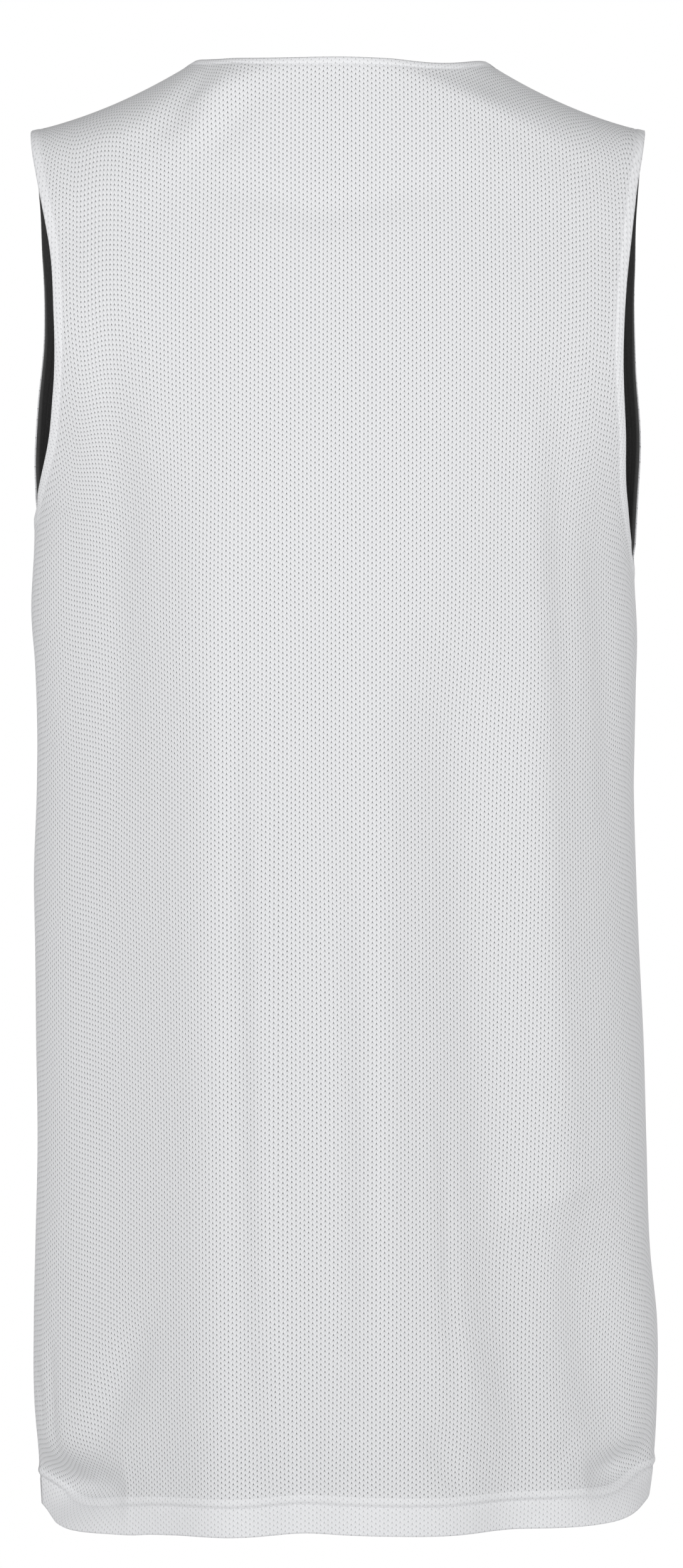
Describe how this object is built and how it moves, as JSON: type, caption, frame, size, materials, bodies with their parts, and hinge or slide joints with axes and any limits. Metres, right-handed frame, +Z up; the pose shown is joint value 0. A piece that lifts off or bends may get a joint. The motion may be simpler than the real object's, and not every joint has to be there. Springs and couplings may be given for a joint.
{
  "type": "reversible basketball jersey",
  "caption": "Sleeveless reversible mesh basketball jersey, white outside and black inside, filled out as if worn, with open neck, armholes and hem.",
  "frame": {"origin": "middle of the neck opening, at the height where the wearer's shoulders carry the jersey", "axes": "+Z up, the front faces -Y and the back faces +Y, the wearer's left side is +X"},
  "size_m": [0.3546, 0.2665, 0.8215],
  "materials": {
    "white_knit": "matt eyelet mesh knit, white",
    "black_knit": "matt mesh knit, black"
  },
  "bodies": {
    "root": {"back_white": "white_knit", "front_white": "white_knit", "back_black": "black_knit", "front_black": "black_knit"}
  },
  "joints": []
}
